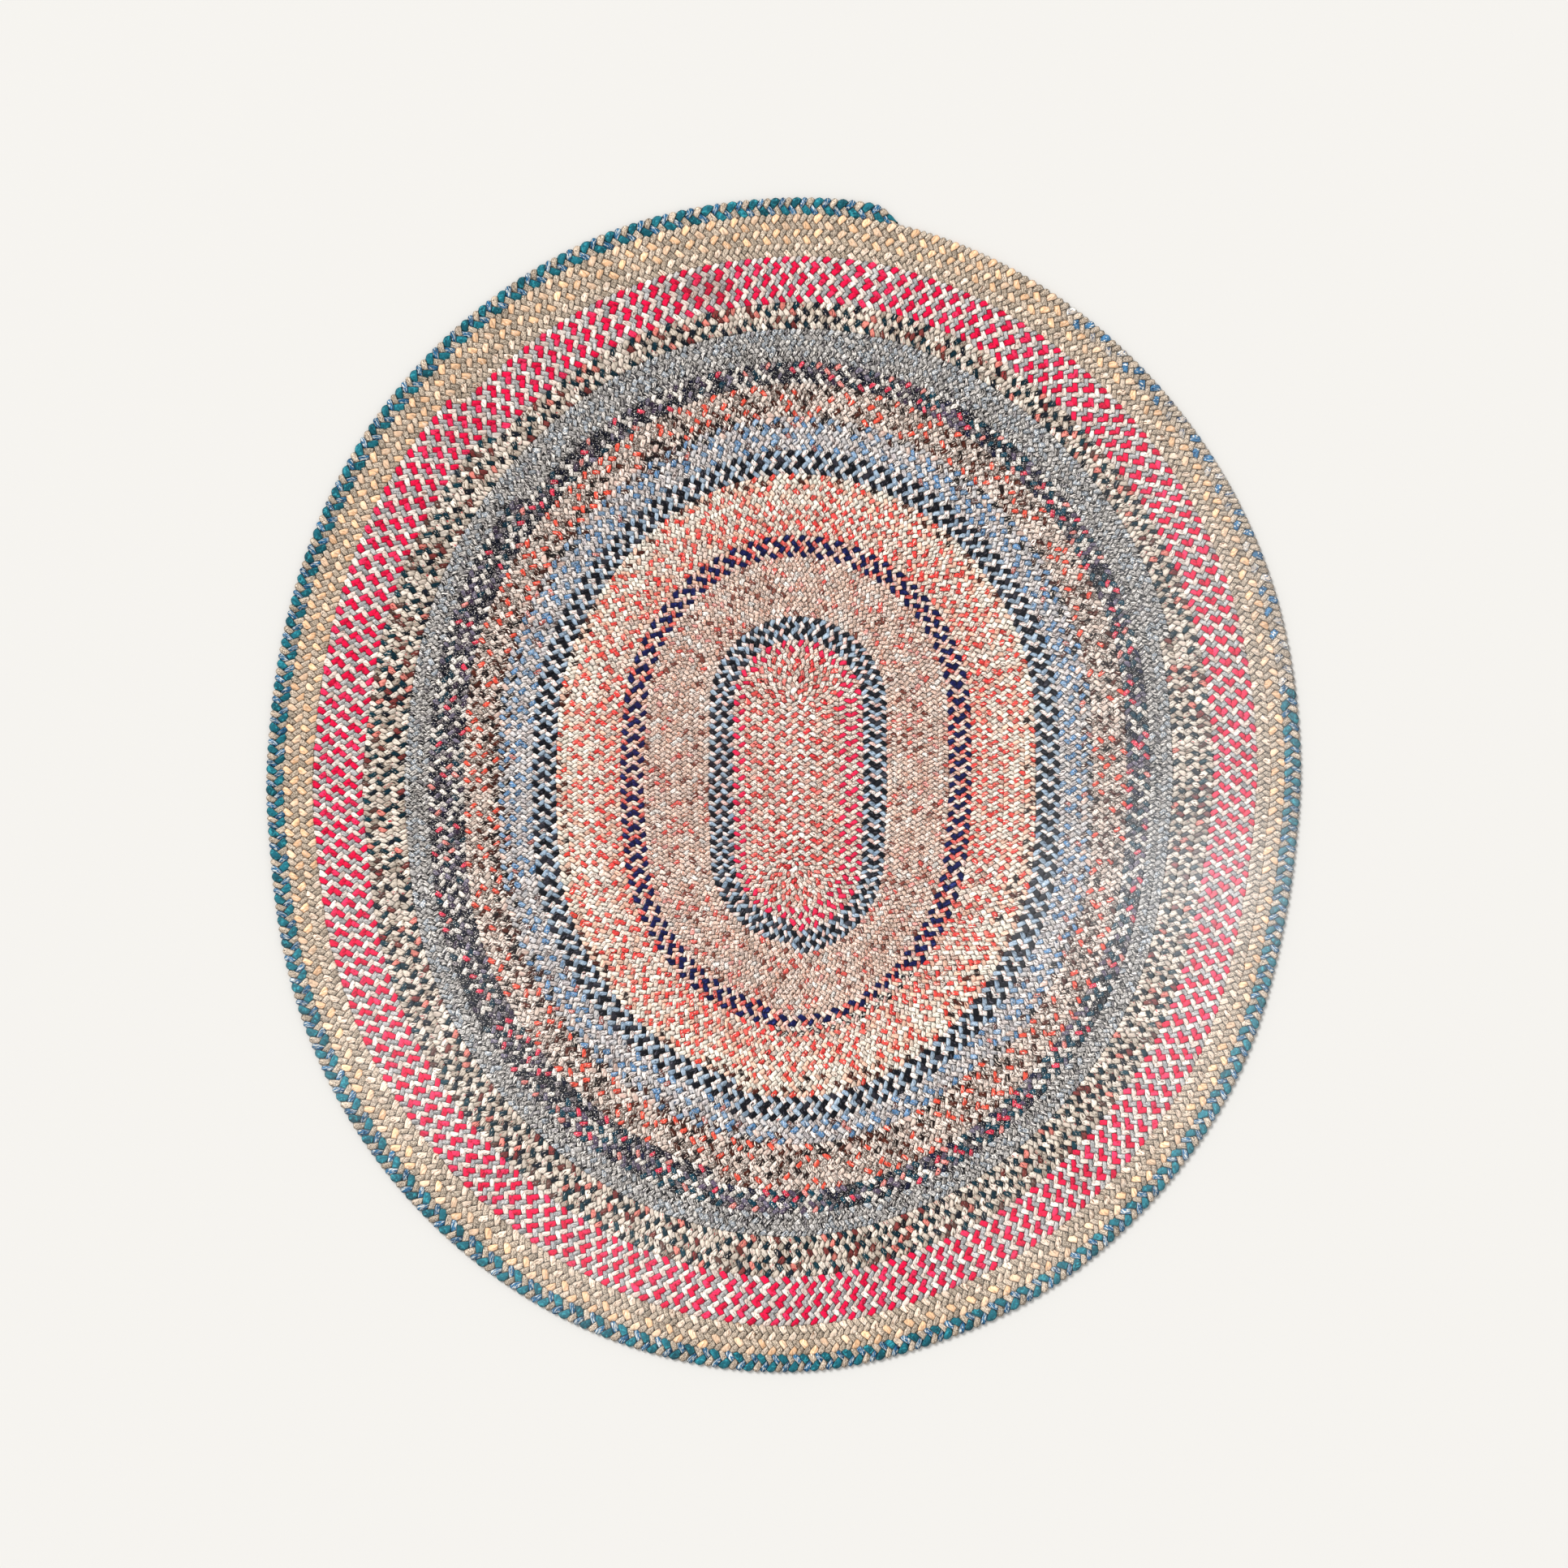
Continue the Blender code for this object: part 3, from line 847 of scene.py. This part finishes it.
# The cloths of the plait's three strands, from a turn on
STRAND_CLOTHS = (
    Plait(0.0, "white_marled", "coral_print", "marled"),
    Plait(1.25, "marled", "coral_print", "marled"),
    Plait(4.15, "marled", "crimson_print", "marled"),
    Plait(5.5, "charcoal", "slate", "white_print"),
    Plait(7.5, "tweed_beige", "beige_mixed", "tweed_beige"),
    Plait(13.51, "navy", "pink_print", "cream_print"),
    Plait(15.39, "black_white", "pink_print", "cream_print"),
    Plait(15.51, "marled", "coral_cream", "cream_print"),
    Plait(17.6, "cream", "coral_cream", "marled"),
    Plait(18.3, "cream", "coral_light", "marled"),
    Plait(18.4, "cream", "coral_light", "cream_print"),
    Plait(20.3, "cream", "cream_dark", "cream_print"),
    Plait(21.53, "black", "slate", "white_striped"),
    Plait(23.53, "denim", "white_thin", "light_grey"),
    Plait(25.5, "brown_striped", "denim", "light_grey"),
    Plait(26.4, "brown_striped", "coral", "brown_white"),
    Plait(27.0, "grey_tweed", "coral", "brown_white"),
    Plait(29.53, "navy_spotted", "print_mixed", "grey_spotted"),
    Plait(30.05, "teal_spotted", "print_mixed", "grey_spotted"),
    Plait(30.6, "navy_spotted", "print_mixed", "grey_spotted"),
    Plait(31.05, "teal_spotted", "print_mixed", "grey_spotted"),
    Plait(31.6, "navy_spotted", "print_mixed", "grey_spotted"),
    Plait(31.88, "grey_blue", "black_marled", "black_marled"),
    Plait(32.9, "grey_blue", "black_marled", "grey_blue"),
    Plait(34.18, "mixed_dark", "red_striped", "cream_plain"),
    Plait(36.1, "teal_dark", "red_striped", "cream_plain"),
    Plait(36.89, "crimson", "off_white", "grey"),
    Plait(40.89, "pale_peach", "grey_beige", "grey_beige"),
    Plait(41.7, "peach", "grey_beige", "grey_beige"),
    Plait(43.08, "plaid_light", "grey_beige", "grey_beige"),
    Plait(43.198, "teal", "plaid_blue", "grey_beige"),
)

TONE_RANGE = 0.22         # how much brighter or darker than its cloth a loop can be
CREASE_SHADE = 0.14       # painted shade: brightness left at the bottom of a crease
CREASE_SPAN = 0.44        # openness to the light from which the painted crease shade stops
# colour of the painted wash of light
LIGHT_WASH_COLOUR = "eef2f6"
STAIN_COLOUR = "5f2f2c"
NOISE_SPREAD = 0.115      # how widely a noise's values spread round one half
MARK_SOFTNESS = 0.05      # of those values, from a mark's outline to each side
LAYER_STEP = 7.3          # how far apart the marks of a cloth lie in the noise
FOLD_VALUES = (0.36, 0.5)  # of the noise, at the bottom and on the back of the folds along the strip,
FOLD_SHADES = (0.62, 1.0)  # and the brightness there: painted shade at the bottom of the folds
THREAD_VALUES = (0.3, 0.7)  # of the noise, between threads and on them,
THREAD_SHADES = (0.93, 1.07)  # and the brightness there: painted shade between the threads and painted light on them
THREAD_RELIEF = 0.4       # height of the threads beside that of the folds
RELIEF_STRENGTH = 0.5
RELIEF_HEIGHT = 1.2 * MM
CLOTH_SURFACE = {"Roughness": 0.92, "Specular IOR Level": 0.12, "Sheen Weight": 0.04, "Sheen Roughness": 0.6}


def linear(text):
    """The values that a shader takes for a colour given in its usual six digits."""
    parts = [int(text[i : i + 2], 16) / 255 for i in (0, 2, 4)]
    return (*(part / 12.92 if part <= 0.04045 else ((part + 0.055) / 1.055) ** 2.4 for part in parts), 1.0)


class Nodes:
    """Short ways to add and join shader nodes."""

    MIX_INPUTS = (0, 6, 7)  # of a mix node, the sockets for the share and the two colours,
    MIX_OUTPUT = 2        # and the one that gives the mixed colour

    def __init__(self, material):
        material.use_nodes = True
        self.tree = material.node_tree
        self.shader = self.tree.nodes["Principled BSDF"]

    def add(self, kind, **settings):
        node = self.tree.nodes.new(kind)
        for key, value in settings.items():
            setattr(node, key, value)
        return node

    def feed(self, value, target):
        """Give a socket a value, or the output of another node."""
        if isinstance(value, bpy.types.NodeSocket):
            self.tree.links.new(value, target)
        else:
            target.default_value = value

    def attribute(self, name, output="Fac"):
        return self.add("ShaderNodeAttribute", attribute_name=name).outputs[output]

    def math(self, operation, *values):
        node = self.add("ShaderNodeMath", operation=operation)
        for socket, value in zip(node.inputs, values):
            self.feed(value, socket)
        return node.outputs[0]

    def ramp(self, value, from_values, to_values=(0.0, 1.0)):
        node = self.add("ShaderNodeMapRange")
        self.feed(value, node.inputs["Value"])
        for key, number in zip(("From Min", "From Max", "To Min", "To Max"), (*from_values, *to_values)):
            self.feed(number, node.inputs[key])
        return node.outputs[0]

    def mix(self, share, first, second):
        node = self.add("ShaderNodeMix", data_type="RGBA")
        for index, value in zip(self.MIX_INPUTS, (share, first, second)):
            self.feed(value, node.inputs[index])
        return node.outputs[self.MIX_OUTPUT]

    def scale(self, colour, factor):
        node = self.add("ShaderNodeVectorMath", operation="SCALE")
        self.feed(colour, node.inputs[0])
        self.feed(factor, node.inputs["Scale"])
        return node.outputs[0]

    def noise(self, vector, noise, layer=0):
        stretch = self.add("ShaderNodeVectorMath", operation="MULTIPLY_ADD")
        self.feed(vector, stretch.inputs[0])
        self.feed((1 / noise.across, 1 / noise.along, 1.0), stretch.inputs[1])
        self.feed((0.0, 0.0, layer * LAYER_STEP), stretch.inputs[2])
        node = self.add("ShaderNodeTexNoise")
        self.feed(1.0, node.inputs["Scale"])
        self.feed(noise.detail, node.inputs["Detail"])
        self.feed(stretch.outputs[0], node.inputs["Vector"])
        return node.outputs["Fac"]


def palette_colour(nodes, palette):
    """One colour of the palette for each loop, by the loop's random pick."""
    if len(palette) == 1:
        return linear(*palette)
    node = nodes.add("ShaderNodeValToRGB")
    ramp = node.color_ramp
    ramp.interpolation = "CONSTANT"
    start = 0.0
    for index, (colour, share) in enumerate(palette.items()):
        stop = ramp.elements[index] if index < 2 else ramp.elements.new(start)
        stop.position = start
        stop.color = linear(colour)
        start += share
    nodes.feed(nodes.attribute("pick"), node.inputs["Fac"])
    return node.outputs["Color"]


def mark_mask(nodes, on_cloth, mark, layer):
    """1 on the mark and 0 beside it, from a noise cut at the level that covers its share."""
    value = nodes.noise(on_cloth, mark.noise, layer)
    level = 0.5 + NOISE_SPREAD * NormalDist().inv_cdf(1.0 - mark.cover)
    return nodes.ramp(value, (level - MARK_SOFTNESS, level + MARK_SOFTNESS))


def cloth_brightness(nodes, threads, folds):
    """Each loop's own tone, the paler and darker patches, the painted shade and light of the threads and
    folds, and the painted shade in the creases.
    """
    tone = nodes.math("MULTIPLY_ADD", nodes.attribute("tone"), TONE_RANGE, 1.0)
    # painted shade between the threads and painted light on them
    thread_light_and_shade = nodes.ramp(threads, THREAD_VALUES, THREAD_SHADES)
    # painted shade at the bottom of the folds along the strip
    fold_shade = nodes.ramp(folds, FOLD_VALUES, FOLD_SHADES)
    # painted shade: the cloth darkens towards the creases, where less light reaches
    painted_crease_shade = nodes.ramp(nodes.attribute("open_share"), (0.0, CREASE_SPAN), (CREASE_SHADE, 1.0))
    cloth_shade = nodes.math("MULTIPLY", thread_light_and_shade, fold_shade)
    # paler and darker patches
    paleness = nodes.math("ADD", nodes.attribute("faded"), 1.0)
    loop_shade = nodes.math("MULTIPLY", tone, paleness)
    return nodes.math("MULTIPLY", nodes.math("MULTIPLY", loop_shade, cloth_shade), painted_crease_shade)


def add_relief(nodes, threads, folds):
    """The threads and folds as relief."""
    bump = nodes.add("ShaderNodeBump")
    nodes.feed(RELIEF_STRENGTH, bump.inputs["Strength"])
    nodes.feed(RELIEF_HEIGHT, bump.inputs["Distance"])
    nodes.feed(nodes.math("MULTIPLY_ADD", threads, THREAD_RELIEF, folds), bump.inputs["Height"])
    nodes.feed(bump.outputs["Normal"], nodes.shader.inputs["Normal"])


def cloth_material(name):
    """Matte cloth: its palette and marks, its painted shades, and the stains and painted wash of light over
    them.
    """
    if name in bpy.data.materials:
        return bpy.data.materials[name]
    palette, *marks = CLOTHS[name]
    material = bpy.data.materials.new(name)
    nodes = Nodes(material)
    on_cloth = nodes.attribute("on_cloth", "Vector")
    colour = palette_colour(nodes, palette)
    for layer, mark in enumerate(marks, 1):
        colour = nodes.mix(mark_mask(nodes, on_cloth, mark, layer), colour, linear(mark.colour))
    threads = nodes.noise(on_cloth, THREADS)
    folds = nodes.noise(on_cloth, FOLDS)
    colour = nodes.scale(colour, cloth_brightness(nodes, threads, folds))
    colour = nodes.mix(nodes.attribute("stain"), colour, linear(STAIN_COLOUR))
    # painted light: the colour is washed towards a pale tint where the wash of light lies
    colour = nodes.mix(nodes.attribute("haze"), colour, linear(LIGHT_WASH_COLOUR))
    nodes.feed(colour, nodes.shader.inputs["Base Color"])
    for key, value in CLOTH_SURFACE.items():
        nodes.feed(value, nodes.shader.inputs[key])
    add_relief(nodes, threads, folds)
    return material


def cloth_numbers(half, number):
    """Number of the cloth of each loop of a half."""
    names = strand_rows(STRAND_CLOTHS, number)[np.arange(len(number)), strand_at(half, number)]
    return np.array([CLOTH_NAMES.index(name) for name in names], float)


# ---- The rug ----


def build_rug():
    """The braid's stretches, each built as a piece of its own and attached to the root, with the model's rug
    hidden.
    """
    starts = np.interp([piece.first_turn for piece in PIECES[1:]], TURNS, LOOPS)
    stops = [0, *map(round, starts.tolist()), LAST_LOOP]
    for piece, first, last in zip(PIECES, stops, stops[1:]):
        braid = build_braid(piece.name, first, last, piece.rows)
        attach(braid, "root")
        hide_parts(RUG_NODE)
        width = float(half_width(turn_of(last)) - half_width(turn_of(first)))
        width = width / float(turn_of(last) - turn_of(first))


# ---- Floor, light and camera ----

VIEW_WIDTH = 2.415        # metres of floor across the picture
VIEW_CENTRE = (0.8 * MM, 1.3 * MM)
LENS = 85.0
SENSOR = 36.0
FLOOR_SIZE = 120.0
FLOOR_COLOUR = "dad8d4"
FLOOR_ROUGHNESS = 0.9
SUN_ANGLE = 25.0          # degrees that it covers in the sky
SUN_TILT = 45.0
SUN_BEARING = -50.0
SUN_POWER = 2.65
WORLD_COLOUR = (1.0, 1.0, 1.0, 1.0)
WORLD_POWER = 0.71


def add_floor():
    bpy.ops.mesh.primitive_plane_add(size=FLOOR_SIZE)
    floor = bpy.context.object
    floor.name = "floor"
    material = bpy.data.materials.new("floor")
    material.use_nodes = True
    shader = material.node_tree.nodes["Principled BSDF"]
    shader.inputs["Base Color"].default_value = linear(FLOOR_COLOUR)
    shader.inputs["Roughness"].default_value = FLOOR_ROUGHNESS
    floor.data.materials.append(material)


def add_sun():
    """A broad, even light from the upper left, for soft relief without a gradient over the floor."""
    light = bpy.data.lights.new("sun", "SUN")
    light.angle = math.radians(SUN_ANGLE)
    light.energy = SUN_POWER
    lamp = bpy.data.objects.new("sun", light)
    lamp.rotation_euler = (0.0, math.radians(-SUN_TILT), math.radians(SUN_BEARING))
    bpy.context.scene.collection.objects.link(lamp)


def add_camera():
    """Straight down on the rug."""
    data = bpy.data.cameras.new("camera")
    data.lens = LENS
    data.sensor_width = SENSOR
    data.sensor_fit = "HORIZONTAL"
    camera = bpy.data.objects.new("camera", data)
    camera.location = (*VIEW_CENTRE, VIEW_WIDTH * LENS / SENSOR)
    bpy.context.scene.collection.objects.link(camera)
    bpy.context.scene.camera = camera


def add_world():
    world = bpy.data.worlds.new("studio")
    world.use_nodes = True
    background = world.node_tree.nodes["Background"]
    background.inputs["Color"].default_value = WORLD_COLOUR
    background.inputs["Strength"].default_value = WORLD_POWER
    bpy.context.scene.world = world
    bpy.context.scene.view_settings.view_transform = "Standard"


build_rug()
add_floor()
add_sun()
add_camera()
add_world()
